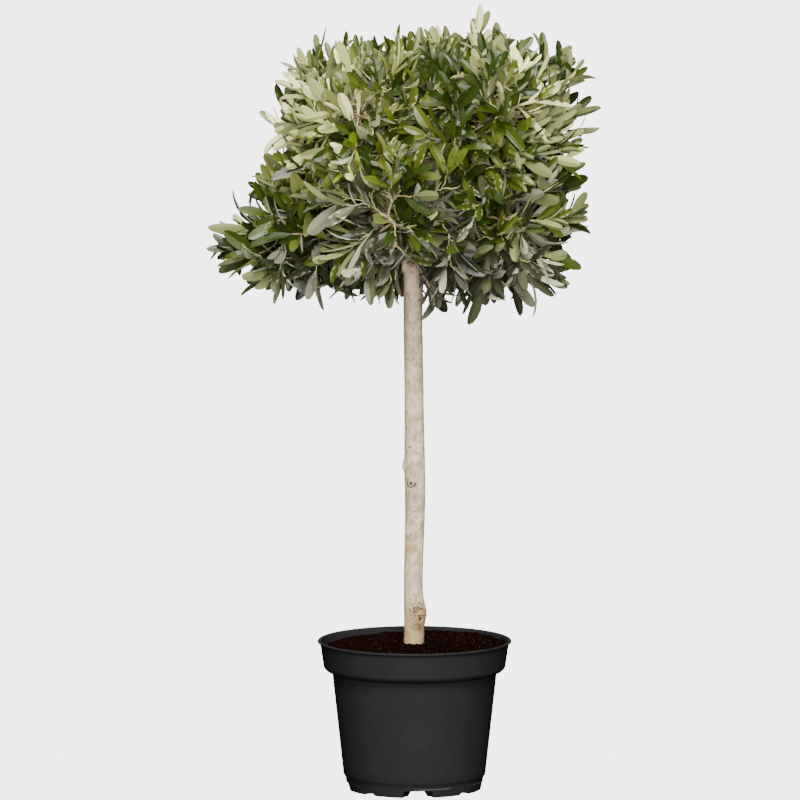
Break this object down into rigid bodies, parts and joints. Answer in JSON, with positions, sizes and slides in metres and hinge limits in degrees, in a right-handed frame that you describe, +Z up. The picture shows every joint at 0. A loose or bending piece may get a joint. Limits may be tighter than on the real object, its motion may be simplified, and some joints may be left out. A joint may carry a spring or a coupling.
{
  "type": "potted olive tree",
  "caption": "Young standard olive tree: a straight bare trunk carries a dense, rounded square crown of narrow grey-green leaves, in a round black nursery pot.",
  "frame": {"origin": "on the ground, under the middle of the pot, at the centre of the pad under its floor", "axes": "+Z up along the trunk, front of the picture towards -Y, +X to the right in the picture"},
  "size_m": [0.493, 0.4104, 0.9788],
  "materials": {
    "pot": "moulded black plastic with a soft sheen",
    "soil": "dark, coarse peat and bark compost",
    "bark": "smooth, pale grey-beige young bark with scars",
    "foliage": "leathery leaves, dark olive above and silvery below"
  },
  "bodies": {
    "root": {"pot": "pot", "soil": "soil", "trunk": "bark", "bough_lower_left": "bark", "bough_lower_front_left": "bark", "bough_lower_front_right": "bark", "bough_lower_back_right": "bark", "bough_lower_back_left": "bark", "bough_upper_front_left": "bark", "bough_upper_front_right": "bark", "bough_upper_back_right": "bark", "bough_upper_back_left": "bark", "foliage_lower_left": "foliage", "foliage_lower_front_left": "foliage", "foliage_lower_front_right": "foliage", "foliage_lower_back_right": "foliage", "foliage_lower_back_left": "foliage", "foliage_upper_front_left": "foliage", "foliage_upper_front_right": "foliage", "foliage_upper_back_right": "foliage", "foliage_upper_back_left": "foliage", "foliage_top": "foliage"}
  },
  "joints": []
}
